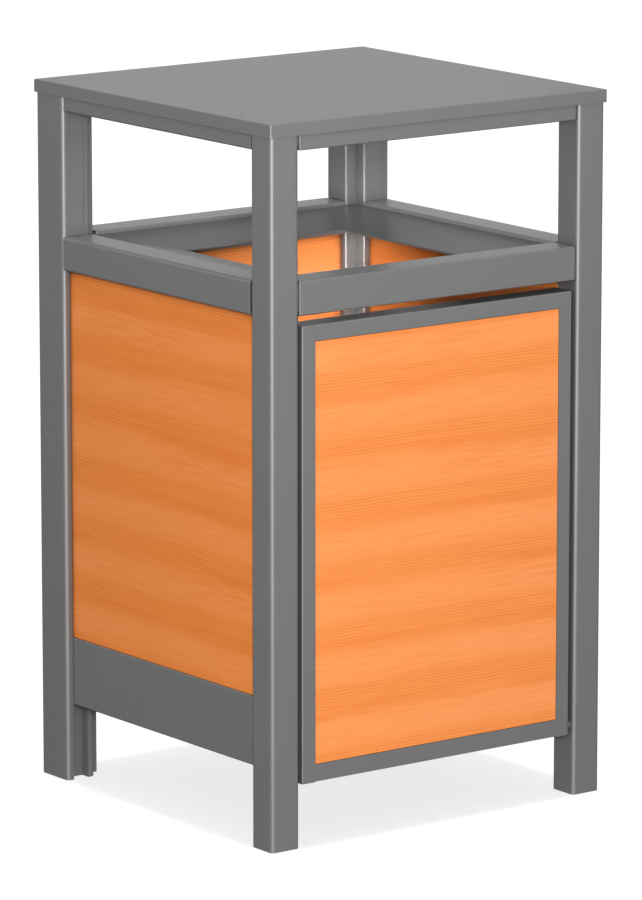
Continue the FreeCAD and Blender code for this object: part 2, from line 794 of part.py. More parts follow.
def right_stile():
    stile = block(stile_inner, door_half_width, door_front, door_back, stile_low, door_top)
    outer = [Vector(door_half_width, door_front, 0), Vector(door_half_width, door_back, 0)]
    top_edges = [Vector(0, door_front, door_top), Vector(0, door_back, door_top)]
    side_top = [Vector(door_half_width, 0, door_top)]
    rounded = edges_through(stile, UP, outer) + edges_through(stile, RIGHT, top_edges)
    rounded += edges_through(stile, BACK, side_top)
    stile = stile.makeFillet(door_edge_radius, rounded)
    groove = block(stile_inner, stile_inner + groove_depth, groove_front, groove_back, stile_low,
                   panel_high + groove_depth)
    hollow = block(stile_inner + door_wall, door_half_width - door_wall, hollow_front, hollow_back,
                   stile_low, door_top - door_wall)
    bush_hole = Part.makeCylinder(bush_radius + hole_clearance, pivot_reach + hole_clearance,
                                  Vector(door_half_width, pivot_y, pivot_z), LEFT)
    stop_hole = Part.makeCylinder(stop_pin_radius + hole_clearance, stop_pin_depth,
                                  orbit_point(door_half_width, stop_start), LEFT)
    stile = without(stile, [groove, hollow, bush_hole, stop_hole])
    for z in frame_screw_heights:
        access = Part.makeCylinder(head_radius + access_clearance, door_wall,
                                   Vector(door_half_width, screw_y, z), LEFT)
        stile = stile.cut(access)
    return drilled(stile, frame_screw_places, frame_screw_length)


plain_stile = right_stile()
export("door_left_stile", mirrored(plain_stile))
export("door_right_stile", drilled(plain_stile, strike_screw_places, strike_screw_length))

cap_plate = block(stile_inner, door_half_width, door_front, door_back, door_bottom, stile_low)
cap_outer = [Vector(door_half_width, door_front, 0), Vector(door_half_width, door_back, 0)]
cap_plate = cap_plate.makeFillet(door_edge_radius, edges_through(cap_plate, UP, cap_outer))
cap_plug = block(stile_inner + door_wall + plug_gap, door_half_width - door_wall - plug_gap,
                 hollow_front + plug_gap, hollow_back - plug_gap, stile_low, stile_low + door_wall)
end_cap = joined([cap_plate, cap_plug])
export("door_end_caps", [end_cap, mirrored(end_cap)])


def door_rail(z0, z1, edge_z, radius, groove_z0, groove_z1):
    """A rail between the stiles; its long outer edges at one height are rounded."""
    bar = block(-stile_inner, stile_inner, door_front, door_back, z0, z1)
    outer = [Vector(0, door_front, edge_z), Vector(0, door_back, edge_z)]
    bar = bar.makeFillet(radius, edges_through(bar, RIGHT, outer))
    groove = block(-stile_inner, stile_inner, groove_front, groove_back, groove_z0, groove_z1)
    hollow = block(-stile_inner, stile_inner, hollow_front, hollow_back, z0 + door_wall, z1 - door_wall)
    return without(bar, [groove, hollow])


export("door_top_rail", door_rail(panel_high, door_top, door_top, door_edge_radius, panel_high,
                                  panel_high + groove_depth))
export("door_bottom_rail", door_rail(door_base, panel_low, door_base, door_lower_radius,
                                     panel_low - groove_depth, panel_low))


def door_spigot(z0, z1):
    """Block in the right end of a door rail that takes the screw through the stile."""
    body = block(stile_inner - spigot_length, stile_inner, hollow_front + spigot_clearance,
                 hollow_back - spigot_clearance, z0 + door_wall + spigot_clearance,
                 z1 - door_wall - spigot_clearance)
    return drilled(body, frame_screw_places, frame_screw_length)


door_spigots = [door_spigot(panel_high, door_top), door_spigot(door_base, panel_low)]
export("door_rail_spigots", door_spigots + [mirrored(s) for s in door_spigots])
frame_screws = screws(frame_screw_places, frame_screw_length)
export("door_frame_screws", frame_screws + [mirrored(s) for s in frame_screws])

panel_front = door_front + door_panel_recess
board_x = stile_inner - tongue_clearance
board = block(-board_x, board_x, panel_front, panel_front + door_panel_thickness,
              panel_low + tongue_clearance, panel_high - tongue_clearance)
tongue = block(-stile_inner - tongue_reach, stile_inner + tongue_reach, groove_front + tongue_clearance,
               groove_back - tongue_clearance, panel_low - tongue_reach, panel_high + tongue_reach)
export("door_panel", joined([board, tongue]))


# Pivots: bushes in the stiles, pins on brackets that are screwed to the posts

def ring_washer(outer, x0, x1):
    ring_body = Part.makeCylinder(outer, x1 - x0, Vector(x0, pivot_y, pivot_z), RIGHT)
    bore = Part.makeCylinder(pivot_radius + running_clearance, x1 - x0, Vector(x0, pivot_y, pivot_z), RIGHT)
    return ring_body.cut(bore)


bush = joined([
    ring_washer(bush_radius, door_half_width - pivot_reach, door_half_width),
    ring_washer(bush_flange_radius, door_half_width, door_half_width + bush_flange),
])
export("pivot_bushes", [bush, mirrored(bush)])

bracket_face = front_post_side - bracket_plate
washer = ring_washer(washer_radius, door_half_width + bush_flange + washer_clearance,
                     bracket_face - washer_clearance)
export("pivot_washers", [washer, mirrored(washer)])

# The door's pin meets the bracket's pin when the door has opened by its full angle
stop_spacing = stop_pin_radius + bracket_pin_radius + stop_clearance
stop_meeting = math.degrees(2 * math.asin(stop_spacing / (2 * stop_orbit)))
bracket_pin_angle = stop_start + door_opening + stop_meeting
stop_pin_length = bracket_face - door_half_width - stop_end_gap
stop_pin = Part.makeCylinder(stop_pin_radius, stop_pin_depth + stop_pin_length,
                             orbit_point(door_half_width - stop_pin_depth, stop_start), RIGHT)
export("door_stop_pins", [stop_pin, mirrored(stop_pin)])

bracket = joined([
    block(bracket_face, front_post_side, pivot_y, front_post_back - bracket_setback,
          pivot_z - bracket_boss_radius, pivot_z + bracket_height),
    Part.makeCylinder(bracket_boss_radius, bracket_plate, Vector(bracket_face, pivot_y, pivot_z), RIGHT),
    Part.makeCylinder(pivot_radius, bracket_face - door_half_width + pivot_reach,
                      Vector(bracket_face, pivot_y, pivot_z), LEFT),
    Part.makeCylinder(bracket_pin_radius, stop_pin_length, orbit_point(bracket_face, bracket_pin_angle), LEFT),
])
bracket = drilled(bracket, bracket_screw_places, bracket_plate)
export("pivot_brackets", [bracket, mirrored(bracket)])
bracket_screws = screws(bracket_screw_places, bracket_screw_length)
export("pivot_bracket_screws", bracket_screws + [mirrored(s) for s in bracket_screws])


# Magnetic catch on the right post, and its strike plate on the door

strike_back = door_back + strike_sheet
strike = block(strike_centre - strike_width / 2, strike_centre + strike_width / 2, door_back, strike_back,
               catch_height - strike_height / 2, catch_height + strike_height / 2)
export("strike_plate", drilled(strike, strike_screw_places, strike_sheet))
export("strike_screws", screws(strike_screw_places, strike_screw_length))

magnet_front = strike_back + magnet_gap
arm_front = magnet_front + magnet_depth
catch_low = catch_height - catch_leaf / 2
catch_high = catch_height + catch_leaf / 2
catch_bracket = joined([
    block(front_post_side - catch_sheet, front_post_side, front_post_back - catch_cover,
          arm_front + catch_sheet, catch_low, catch_high),
    block(front_post_side - catch_arm, front_post_side, arm_front, arm_front + catch_sheet,
          catch_low, catch_high),
])
export("catch_bracket", drilled(catch_bracket, catch_screw_places, catch_sheet))
export("catch_screws", screws(catch_screw_places, catch_screw_length))
magnet_height = 2 * (strike_screw_reach - head_radius - strike_screw_margin)
export("catch_magnet", block(strike_centre - magnet_width / 2, strike_centre + magnet_width / 2,
                             magnet_front, arm_front, catch_height - magnet_height / 2,
                             catch_height + magnet_height / 2))
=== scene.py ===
import math

import bmesh
import bpy
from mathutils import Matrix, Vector


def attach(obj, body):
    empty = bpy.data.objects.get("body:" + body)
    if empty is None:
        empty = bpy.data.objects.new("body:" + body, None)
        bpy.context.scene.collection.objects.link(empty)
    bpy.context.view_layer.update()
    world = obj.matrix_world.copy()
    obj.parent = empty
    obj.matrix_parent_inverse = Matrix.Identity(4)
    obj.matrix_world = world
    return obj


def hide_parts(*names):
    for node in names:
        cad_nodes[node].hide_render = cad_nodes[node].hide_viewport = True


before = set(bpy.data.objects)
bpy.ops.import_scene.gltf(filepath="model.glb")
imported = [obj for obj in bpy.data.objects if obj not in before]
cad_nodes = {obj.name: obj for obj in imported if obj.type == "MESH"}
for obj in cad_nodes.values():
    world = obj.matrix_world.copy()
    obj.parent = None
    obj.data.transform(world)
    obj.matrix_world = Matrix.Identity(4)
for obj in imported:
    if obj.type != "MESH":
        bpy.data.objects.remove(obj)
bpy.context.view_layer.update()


# Camera: stands to the front left of the bin, a little above its roof, with a
# long lens, so that uprights stay nearly parallel. Places are in metres.

camera_place = (-5.26903, -7.07923, 2.29540)
camera_aim = Vector((0.58554, 0.78606, -0.19813))
camera_data = bpy.data.cameras.new("product_camera")
camera_data.lens = 240.28
camera_data.sensor_width = 36.0
camera_data.clip_end = 200.0
camera = bpy.data.objects.new("product_camera", camera_data)
bpy.context.scene.collection.objects.link(camera)
camera.location = camera_place
camera.rotation_euler = camera_aim.to_track_quat("-Z", "Y").to_euler()
bpy.context.scene.camera = camera


# Studio: a pale floor that is lit from below like a photographer's light table, a
# white cove that is bright at eye level and overhead, and soft lights around the bin.

def linear(colour):
    """A colour given as sRGB hex, as the linear values that shaders take."""
    parts = [int(colour[i:i + 2], 16) / 255 for i in (1, 3, 5)]
    curve = [p / 12.92 if p <= 0.04045 else ((p + 0.055) / 1.055) ** 2.4 for p in parts]
    return (*curve, 1.0)


def add_node(material, kind, settings, links):
    """Add one node to a material or world, with its settings and the sockets that feed it."""
    node = material.node_tree.nodes.new(kind)
    for name, value in settings.items():
        if isinstance(name, str) and hasattr(node, name):
            setattr(node, name, value)
        else:
            node.inputs[name].default_value = value
    for name, socket in links.items():
        material.node_tree.links.new(socket, node.inputs[name])
    return node


def new_material(name):
    """An empty node material, with its surface shader, output and object coordinates."""
    material = bpy.data.materials.new(name)
    material.use_nodes = True
    material.node_tree.nodes.clear()
    shader = add_node(material, "ShaderNodeBsdfPrincipled", {}, {})
    add_node(material, "ShaderNodeOutputMaterial", {}, {"Surface": shader.outputs["BSDF"]})
    place = add_node(material, "ShaderNodeTexCoord", {}, {}).outputs["Object"]
    return material, shader, place


bpy.context.scene.view_settings.view_transform = "Standard"
floor_size = 60.0
floor_cloud = 0.35
table, table_shader, table_place = new_material("matt_white_light_table")
table_tone = add_node(table, "ShaderNodeTexNoise", {"Scale": 1 / floor_cloud, "Detail": 2.0},
                      {"Vector": table_place})
table_colour = add_node(table, "ShaderNodeMix",
                        {"data_type": "RGBA", 6: linear("#878787"), 7: linear("#8B8B8B")},
                        {0: table_tone.outputs["Fac"]})
table.node_tree.links.new(table_colour.outputs[2], table_shader.inputs["Base Color"])
table_shader.inputs["Roughness"].default_value = 0.9
table_shader.inputs["Specular IOR Level"].default_value = 0.1
table_shader.inputs["Emission Color"].default_value = linear("#FFFFFF")
table_shader.inputs["Emission Strength"].default_value = 0.80
bpy.ops.object.select_all(action="DESELECT")
bpy.ops.mesh.primitive_plane_add(size=floor_size)
floor = bpy.context.object
floor.name = "studio_floor"
floor.data.materials.append(table)
# The table's own glow is kept off the bin, which is lit by the cove and the lamps.
floor.visible_glossy = False
floor.visible_diffuse = False
floor.visible_shadow = False

# Brightness of the cove by height, from the sine of the angle above the horizon.
cove_bands = {-0.20: 0.04, 0.08: 0.96, 0.40: 0.0, 0.92: 1.0}
cove = bpy.data.worlds.new("white_cove")
bpy.context.scene.world = cove
cove.use_nodes = True
cove_view = add_node(cove, "ShaderNodeTexCoord", {}, {})
cove_axes = add_node(cove, "ShaderNodeSeparateXYZ", {}, {"Vector": cove_view.outputs["Generated"]})
cove_rise = add_node(cove, "ShaderNodeMapRange", {"From Min": -1.0, "From Max": 1.0},
                     {"Value": cove_axes.outputs["Z"]})
cove_ramp = add_node(cove, "ShaderNodeValToRGB", {}, {"Fac": cove_rise.outputs["Result"]})
cove_stops = cove_ramp.color_ramp.elements
cove_stops.remove(cove_stops[-1])
for sine, strength in cove_bands.items():
    stop = cove_stops.new((1 + sine) / 2)
    stop.color = (strength, strength, strength, 1.0)
cove_stops.remove(cove_stops[0])
cove_glow = cove.node_tree.nodes["Background"]
cove.node_tree.links.new(cove_ramp.outputs["Color"], cove_glow.inputs["Color"])

# The sun lamp stands for a far overhead bank. It lights the floor alone, and so throws
# the bin's outline on it.
lit_floor = bpy.data.collections.new("lit_by_bank")
lit_floor.objects.link(floor)
bank_data = bpy.data.lights.new("overhead_bank", "SUN")
bank_data.energy = 1.9
bank_data.angle = math.radians(1.5)
bank = bpy.data.objects.new("overhead_bank", bank_data)
bpy.context.scene.collection.objects.link(bank)
bank.light_linking.receiver_collection = lit_floor

# Each soft light has its place, the point it is aimed at, its width and its power in watts.
# All are flagged off the floor.
flag = bpy.data.collections.new("flagged_off")
flag.objects.link(floor)
flag.collection_objects[0].light_linking.link_state = "EXCLUDE"
soft_lights = {
    "camera_softbox": ((-3.51, -4.71, 1.93), (0, 0, 0.75), 1.2, 425.0),
    "front_softbox": ((0.8, -3.2, 1.6), (0, 0, 0.8), 1.2, 11.0),
    "left_softbox": ((-2.4, 0.2, 2.0), (0, 0, 0.8), 1.2, 5.0),
    "rear_softbox": ((2.35, 3.24, 1.80), (0, 0, 0.85), 1.2, 1.3),
    "window_softbox": ((-0.935, -1.336, 1.12), (0.27, 0.26, 0.875), 0.2, 0.19),
    "roof_bounce": ((0, 0, 1.02), (0, 0, 0.8), 0.58, 1.7),
    "inside_lamp": ((-0.12, -0.18, 0.69), (0.165, 0.24, 0.68), 0.1, 0.27),
}
for light_name, (light_place, light_target, light_size, light_power) in soft_lights.items():
    light_data = bpy.data.lights.new(light_name, "AREA")
    light_data.size = light_size
    light_data.energy = light_power
    light = bpy.data.objects.new(light_name, light_data)
    bpy.context.scene.collection.objects.link(light)
    light.location = light_place
    light_aim = Vector(light_target) - Vector(light_place)
    light.rotation_euler = light_aim.to_track_quat("-Z", "Y").to_euler()
    light.visible_camera = False
    light.light_linking.receiver_collection = flag

# The lamp inside stands for the light that falls in through the hopper. The hopper is
# flagged off it, in its own section.
hopper_flag = bpy.data.collections.new("flagged_off_hopper")
hopper_flag.objects.link(floor)
hopper_flag.collection_objects[0].light_linking.link_state = "EXCLUDE"
inside_lamp = bpy.data.objects["inside_lamp"]
inside_lamp.data.spread = math.radians(43)
inside_lamp.light_linking.receiver_collection = hopper_flag

# The window softbox lifts the rear right post, with the strips in its channels, out of the
# shade of the roof. It lights nothing else.
lit_post = bpy.data.collections.new("lit_through_window")
window_softbox = bpy.data.objects["window_softbox"]
window_softbox.data.spread = math.radians(20)
window_softbox.visible_glossy = False
window_softbox.light_linking.receiver_collection = lit_post

# The roof bounce stands for light thrown back under the roof, and lights the rails alone.
lit_rails = bpy.data.collections.new("lit_by_roof_bounce")
roof_bounce = bpy.data.objects["roof_bounce"]
roof_bounce.visible_glossy = False
roof_bounce.light_linking.receiver_collection = lit_rails


# Front posts: square aluminium extrusions with a channel in the back face for
# the wall panel. Cut to length, then powder coated in satin grey.

half_width = 0.305
half_depth = 0.2965
post_top = 1.0625
post_size = 0.050
post_radius = 0.006
post_wall = 0.003
channel_near = 0.012
channel_far = 0.038
front_channel_depth = 0.014
# How far a cut runs past an open edge.
cut_margin = 0.001
# Steps in a rounded edge, from large arcs down to eased edges.
arc_steps = 6
fold_steps = 4
arris_steps = 3
ease_steps = 2
# Widths of eased edges, and the angles from which an edge is eased and stays sharp in the light.
ease_width = 0.0004
fine_ease = 0.0003
ease_angle = math.radians(40)
smooth_angle = math.radians(32)
# How near two places count as one, and how square on a face and how straight an edge has to be.
same_place = 1e-5
weld_reach = 1e-6
facing = 0.99
straight = 0.999

# Powder coat: fine metal flake in polyester under a baked clear coat. The flake gives a
# broad sheen, the clear coat a sharper gloss at low angles, with a faint ripple.
coat_cloud = 0.12
coat_ripple = 0.004
# How far from a corner the painted shade in the coat and the boards reaches.
corner_shade_reach = 0.03
powder_coat, coat_shader, coat_place = new_material("satin_grey_powder_coat")
coat_tone = add_node(powder_coat, "ShaderNodeTexNoise", {"Scale": 1 / coat_cloud, "Detail": 3.0},
                     {"Vector": coat_place})
coat_colour = add_node(powder_coat, "ShaderNodeMix",
                       {"data_type": "RGBA", 6: linear("#818181"), 7: linear("#878787")},
                       {0: coat_tone.outputs["Fac"]})
# The ripple of a real coat is about 1 mm across, and is drawn at 4 mm so that it shows.
coat_grain = add_node(powder_coat, "ShaderNodeTexNoise", {"Scale": 1 / coat_ripple, "Detail": 2.0},
                      {"Vector": coat_place})
coat_gloss = add_node(powder_coat, "ShaderNodeMapRange", {"To Min": 0.46, "To Max": 0.54},
                      {"Value": coat_grain.outputs["Fac"]})
coat_bump = add_node(powder_coat, "ShaderNodeBump", {"Strength": 0.04, "Distance": 0.0003},
                     {"Height": coat_grain.outputs["Fac"]})
# Painted shade: the coat is darkened towards #636363 where two faces meet, where shade falls in the
# corners.
coat_corner = add_node(powder_coat, "ShaderNodeAmbientOcclusion",
                       {"samples": 12, "Distance": corner_shade_reach}, {})
coat_unshaded_share = add_node(powder_coat, "ShaderNodeMapRange", {"From Min": 0.2, "From Max": 0.9},
                      {"Value": coat_corner.outputs["AO"]})
coat_with_painted_shade = add_node(powder_coat, "ShaderNodeMix", {"data_type": "RGBA", 6: linear("#636363")},
                     {0: coat_unshaded_share.outputs["Result"], 7: coat_colour.outputs[2]})
powder_coat.node_tree.links.new(coat_with_painted_shade.outputs[2], coat_shader.inputs["Base Color"])
powder_coat.node_tree.links.new(coat_gloss.outputs["Result"], coat_shader.inputs["Roughness"])
powder_coat.node_tree.links.new(coat_bump.outputs["Normal"], coat_shader.inputs["Normal"])
coat_shader.inputs["Metallic"].default_value = 0.6
coat_shader.inputs["Coat Weight"].default_value = 0.45
coat_shader.inputs["Coat Roughness"].default_value = 0.30


def start_plate(name, x0, x1, y0, y1, z):
    """Add a flat plane between two corners and open it for editing."""
    bpy.ops.object.select_all(action="DESELECT")
    bpy.ops.mesh.primitive_plane_add(size=1, location=((x0 + x1) / 2, (y0 + y1) / 2, z))
    piece = bpy.context.object
    piece.name = name
    piece.data.name = name
    piece.scale = (x1 - x0, y1 - y0, 1)
    bpy.ops.object.transform_apply(location=True, rotation=True, scale=True)
    bpy.ops.object.mode_set(mode="EDIT")
    return piece


def pick(piece, kind, wanted):
    """Select the vertices, edges or faces whose middle is wanted, and say how many."""
    bpy.ops.mesh.select_mode(type=kind)
    bpy.ops.mesh.select_all(action="DESELECT")
    shape = bmesh.from_edit_mesh(piece.data)
    shape.normal_update()
    count = 0
    for item in {"VERT": shape.verts, "EDGE": shape.edges, "FACE": shape.faces}[kind]:
        if kind == "VERT":
            middle = item.co
        elif kind == "EDGE":
            middle = (item.verts[0].co + item.verts[1].co) / 2
        else:
            middle = item.calc_center_median()
        if wanted(item, middle):
            item.select_set(True)
            count += 1
    shape.select_flush_mode()
    bmesh.update_edit_mesh(piece.data)
    return count


def near(a, b):
    """Whether two lengths are the same to a hundredth of a millimetre."""
    return abs(a - b) < same_place


def round_corners(piece, points, radius):
    """Round off the corners of a flat outline that lie at the given points."""
    pick(piece, "VERT", lambda v, m: any(near(m.x, x) and near(m.y, y) for x, y in points))
    bpy.ops.mesh.bevel(offset=radius, segments=arc_steps, affect="VERTICES", clamp_overlap=False)


def cut_out(piece, rectangles):
    """Cut rectangular openings, each (x0, x1, y0, y1), out of a flat plate."""
    for x0, x1, y0, y1 in rectangles:
        for place, normal in (((x0, 0, 0), (1, 0, 0)), ((x1, 0, 0), (1, 0, 0)),
                              ((0, y0, 0), (0, 1, 0)), ((0, y1, 0), (0, 1, 0))):
            bpy.ops.mesh.select_all(action="SELECT")
            bpy.ops.mesh.bisect(plane_co=place, plane_no=normal, threshold=weld_reach)
    for x0, x1, y0, y1 in rectangles:
        pick(piece, "FACE", lambda f, m: x0 < m.x < x1 and y0 < m.y < y1)
        bpy.ops.mesh.delete(type="FACE")


def raise_plate(height):
    """Extrude the whole flat plate upwards into a bar."""
    bpy.ops.mesh.select_mode(type="FACE")
    bpy.ops.mesh.select_all(action="SELECT")
    bpy.ops.mesh.extrude_region_move(TRANSFORM_OT_translate={"value": (0, 0, height)})
    bpy.ops.mesh.select_all(action="SELECT")
    bpy.ops.mesh.remove_doubles(threshold=weld_reach)
    bpy.ops.mesh.normals_make_consistent(inside=False)


def finish_piece(piece, material, body, stood_for, ease=ease_width):
    """Ease the sharp edges, keep flat faces flat in the light, and tie the piece to the frame."""
    bpy.ops.object.mode_set(mode="OBJECT")
    bpy.ops.object.select_all(action="DESELECT")
    piece.select_set(True)
    bpy.context.view_layer.objects.active = piece
    if ease:
        eased = piece.modifiers.new("eased_edges", "BEVEL")
        eased.width = ease
        eased.segments = ease_steps
        eased.limit_method = "ANGLE"
        eased.angle_limit = ease_angle
        bpy.ops.object.modifier_apply(modifier=eased.name)
    bpy.ops.object.shade_smooth_by_angle(angle=smooth_angle)
    weighted = piece.modifiers.new("flat_faces", "WEIGHTED_NORMAL")
    weighted.keep_sharp = True
    bpy.ops.object.modifier_apply(modifier=weighted.name)
    piece.data.materials.clear()
    piece.data.materials.append(material)
    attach(piece, body)
    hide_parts(*stood_for)


def mirrored_copy(piece, name):
    """The other-hand copy of a piece across the middle of the bin, open for editing."""
    bpy.ops.object.mode_set(mode="OBJECT")
    bpy.ops.object.select_all(action="DESELECT")
    copy = piece.copy()
    copy.data = piece.data.copy()
    copy.name = name
    copy.data.name = name
    bpy.context.scene.collection.objects.link(copy)
    copy.select_set(True)
    bpy.context.view_layer.objects.active = copy
    bpy.ops.object.mode_set(mode="EDIT")
    bpy.ops.mesh.select_all(action="SELECT")
    bpy.ops.transform.resize(value=(-1, 1, 1), center_override=(0, 0, 0))
    bpy.ops.mesh.normals_make_consistent(inside=False)
    return copy


post_in = half_width - post_size
front_out = -half_depth
front_in = post_size - half_depth
front_post = start_plate("front_right_post_extrusion", post_in, half_width, front_out, front_in, 0.0)
post_corners = [(x, y) for x in (post_in, half_width) for y in (front_out, front_in)]
round_corners(front_post, post_corners, post_radius)
channel_floor = front_in - front_channel_depth
cut_out(front_post, [
    (post_in + post_wall, half_width - post_wall, front_out + post_wall, channel_floor - post_wall),
    (half_width - channel_far, half_width - channel_near, channel_floor, front_in + cut_margin),
])
raise_plate(post_top)
front_left = mirrored_copy(front_post, "front_left_post_extrusion")
finish_piece(front_post, powder_coat, "frame", ["front_right_post"])
finish_piece(front_left, powder_coat, "frame", ["front_left_post"])


# Rear posts: heavier extrusions of the same alloy, an L in plan with a channel
# in the end of each arm and a step in the inner corner.

rear_size = 0.069
rear_core = 0.0491
rear_channel_depth = 0.016
rear_flange_radius = 0.004
rear_x = half_width - rear_size
rear_y = half_depth - rear_size
core_x = half_width - rear_core
core_y = half_depth - rear_core
rear_post = start_plate("rear_right_post_extrusion", rear_x, half_width, rear_y, half_depth, 0.0)
cut_out(rear_post, [(rear_x - cut_margin, core_x, rear_y - cut_margin, core_y)])
rear_corners = [(half_width, half_depth), (half_width, rear_y), (rear_x, half_depth)]
round_corners(rear_post, rear_corners, post_radius)
round_corners(rear_post, [(core_x, rear_y), (rear_x, core_y)], rear_flange_radius)
cut_out(rear_post, [
    (half_width - channel_far, half_width - channel_near,
     rear_y - cut_margin, rear_y + rear_channel_depth),
    (rear_x - cut_margin, rear_x + rear_channel_depth,
     half_depth - channel_far, half_depth - channel_near),
    (core_x + post_wall, half_width - post_wall, core_y + post_wall, half_depth - post_wall),
])
raise_plate(post_top)
rear_left = mirrored_copy(rear_post, "rear_left_post_extrusion")
finish_piece(rear_post, powder_coat, "frame", ["rear_right_post"])
finish_piece(rear_left, powder_coat, "frame", ["rear_left_post"])
lit_post.objects.link(rear_post)


# Foot plugs: black nylon plugs pressed into the lower ends of the posts, so that
# the bare cut ends don't scratch the paving. Injection moulded.

def grained_material(name, grain, detail, shades, gloss, metal=0.0, bump=None):
    """A material whose colour, roughness and bump all follow one noise of the given grain size.

    Shades and gloss are the ends of two ranges, and bump holds a strength and a depth."""
    material, shader, place = new_material(name)
    noise = add_node(material, "ShaderNodeTexNoise", {"Scale": 1 / grain, "Detail": detail},
                     {"Vector": place}).outputs["Fac"]
    colour = add_node(material, "ShaderNodeMix",
                      {"data_type": "RGBA", 6: linear(shades[0]), 7: linear(shades[1])}, {0: noise})
    rough = add_node(material, "ShaderNodeMapRange", {"To Min": gloss[0], "To Max": gloss[1]},
                     {"Value": noise})
    material.node_tree.links.new(colour.outputs[2], shader.inputs["Base Color"])
    material.node_tree.links.new(rough.outputs["Result"], shader.inputs["Roughness"])
    shader.inputs["Metallic"].default_value = metal
    if bump:
        raised = add_node(material, "ShaderNodeBump", {"Strength": bump[0], "Distance": bump[1]},
                          {"Height": noise})
        material.node_tree.links.new(raised.outputs["Normal"], shader.inputs["Normal"])
    return material


# Moulded nylon: nearly black, with the fine matt spark texture of the mould.
nylon_spark = 0.002
black_nylon = grained_material("black_moulded_nylon", nylon_spark, 3.0, ("#191919", "#242424"),
                               (0.5, 0.66), bump=(0.2, 0.0002))


def coat_node(name, material):
    """Give a CAD node that stays in view a finished material."""
    node = cad_nodes[name]
    node.data.materials.clear()
    node.data.materials.append(material)


for plug_name in ("front_foot_plugs", "rear_foot_plugs"):
    coat_node(plug_name, black_nylon)


# Bottom rails: deep aluminium box rails between the posts, let into the panel
# channels and screwed from inside. The wall panels stand on them.

def start_box(name, low, high):
    """Add a cube between two corners and open it for editing."""
    bpy.ops.object.select_all(action="DESELECT")
    bpy.ops.mesh.primitive_cube_add(size=1, location=[(a + b) / 2 for a, b in zip(low, high)])
    piece = bpy.context.object
    piece.name = name
    piece.data.name = name
    piece.scale = [b - a for a, b in zip(low, high)]
    bpy.ops.object.transform_apply(location=True, rotation=True, scale=True)
    bpy.ops.object.mode_set(mode="EDIT")
    return piece


def runs_along(edge, axis):
    """Whether an edge runs along an axis, 0 for X, 1 for Y and 2 for Z."""
    run = edge.verts[1].co - edge.verts[0].co
    return abs(run[axis]) > straight * run.length


def open_ends(piece, axis, low, high, wall, depth):
    """Hollow out both ends of a tube that runs along an axis."""
    for end in (low[axis], high[axis]):
        pick(piece, "FACE", lambda f, m: near(m[axis], end) and abs(f.normal[axis]) > facing)
        bpy.ops.mesh.inset(thickness=wall)
        inward = [0, 0, 0]
        inward[axis] = depth if end == low[axis] else -depth
        bpy.ops.mesh.extrude_region_move(TRANSFORM_OT_translate={"value": inward})


def tube_piece(name, low, high, axis, radii, wall, depth):
    """A rectangular tube; radii are those of its upper edges, its lower edges and its rims."""
    upper_radius, lower_radius, rim_radius = radii
    piece = start_box(name, low, high)
    for edge_height, edge_radius in ((high[2], upper_radius), (low[2], lower_radius)):
        pick(piece, "EDGE", lambda e, m: runs_along(e, axis) and near(m.z, edge_height))
        bpy.ops.mesh.bevel(offset=edge_radius, segments=arc_steps, affect="EDGES")
    pick(piece, "EDGE", lambda e, m: near(m[axis], low[axis]) or near(m[axis], high[axis]))
    bpy.ops.mesh.bevel(offset=rim_radius, segments=arris_steps, affect="EDGES")
    open_ends(piece, axis, low, high, wall - rim_radius, depth)
    bpy.ops.mesh.select_all(action="SELECT")
    bpy.ops.mesh.normals_make_consistent(inside=False)
    return piece


side_front = -0.2595
side_rear = 0.2425
back_reach = 0.251
panel_out = 0.0123
panel_in = 0.0377
bottom_low = 0.117
bottom_high = 0.2215
bottom_radii = (0.0025, 0.0025, 0.0005)
bottom_wall = 0.0025
bottom_open = 0.05
right_bottom = tube_piece("right_bottom_rail_extrusion", (half_width - panel_in, side_front, bottom_low),
                          (half_width - panel_out, side_rear, bottom_high), 1, bottom_radii, bottom_wall,
                          bottom_open)
left_bottom = mirrored_copy(right_bottom, "left_bottom_rail_extrusion")
finish_piece(right_bottom, powder_coat, "frame", ["right_bottom_rail"])
finish_piece(left_bottom, powder_coat, "frame", ["left_bottom_rail"])
rear_bottom = tube_piece("rear_bottom_rail_extrusion", (-back_reach, half_depth - panel_in, bottom_low),
                         (back_reach, half_depth - panel_out, bottom_high), 0, bottom_radii, bottom_wall,
                         bottom_open)
finish_piece(rear_bottom, powder_coat, "frame", ["rear_bottom_rail"])


# Wall panels: inch-thick boards with the grain running level, planed, stained
# orange and sealed. They slide down in the channels and stand on the bottom rails.

band_height = 0.093
line_height = 0.0047


